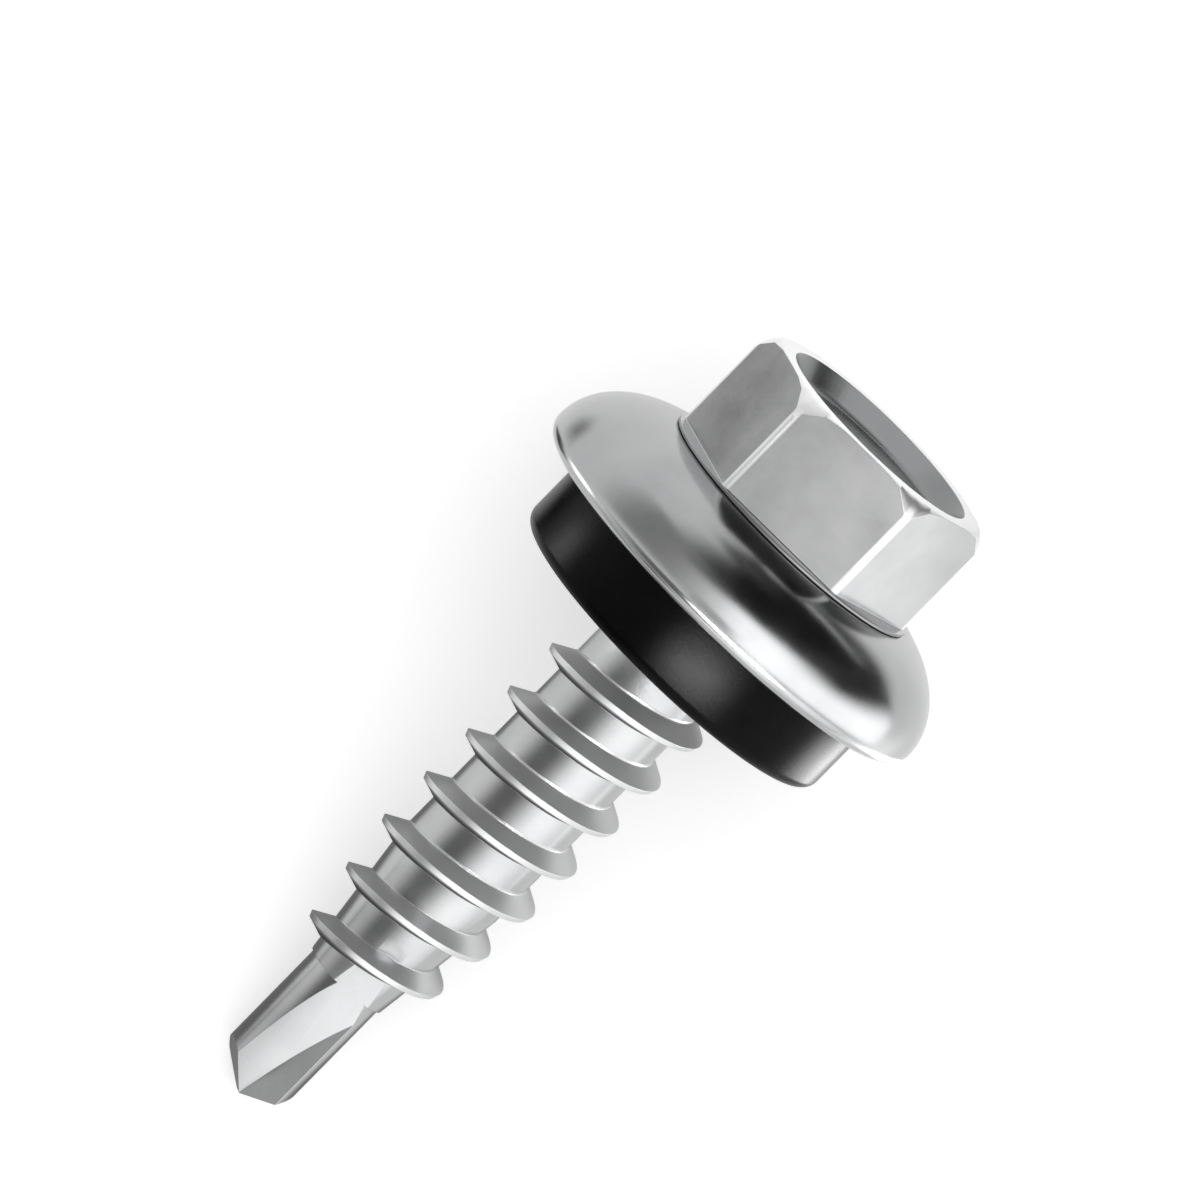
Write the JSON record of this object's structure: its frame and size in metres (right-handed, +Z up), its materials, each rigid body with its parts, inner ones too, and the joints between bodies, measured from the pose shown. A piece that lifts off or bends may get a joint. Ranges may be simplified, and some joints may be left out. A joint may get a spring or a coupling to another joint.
{
  "type": "self drilling screw",
  "caption": "Self drilling screw with an indented hexagon head, a dished steel washer bonded to a black rubber seal, a coarse rolled thread and a fluted drill point.",
  "frame": {"origin": "middle of the bottom of the part's box, on the surface that the screw lies on", "axes": "+X along the screw towards its head, seen from above; +Z up. The screw's own axis leans up towards the head, because it lies on the washer's rim and its point"},
  "size_m": [0.0282, 0.0148, 0.0142],
  "materials": {
    "plated_steel": "bright zinc plating",
    "washer_steel": "bright zinc plating, pressed",
    "seal_rubber": "smooth moulded rubber, slightly glossy"
  },
  "bodies": {
    "screw": {"screw": "plated_steel"},
    "sealing_washer": {"steel_washer": "washer_steel", "rubber_seal": "seal_rubber"}
  },
  "joints": [
    {"name": "washer_spin", "type": "hinge", "parent": "screw", "child": "sealing_washer", "pos_m": [0.00923, 0, 0.00781], "axis": [0.9556, 0, 0.2946], "continuous": true}
  ]
}
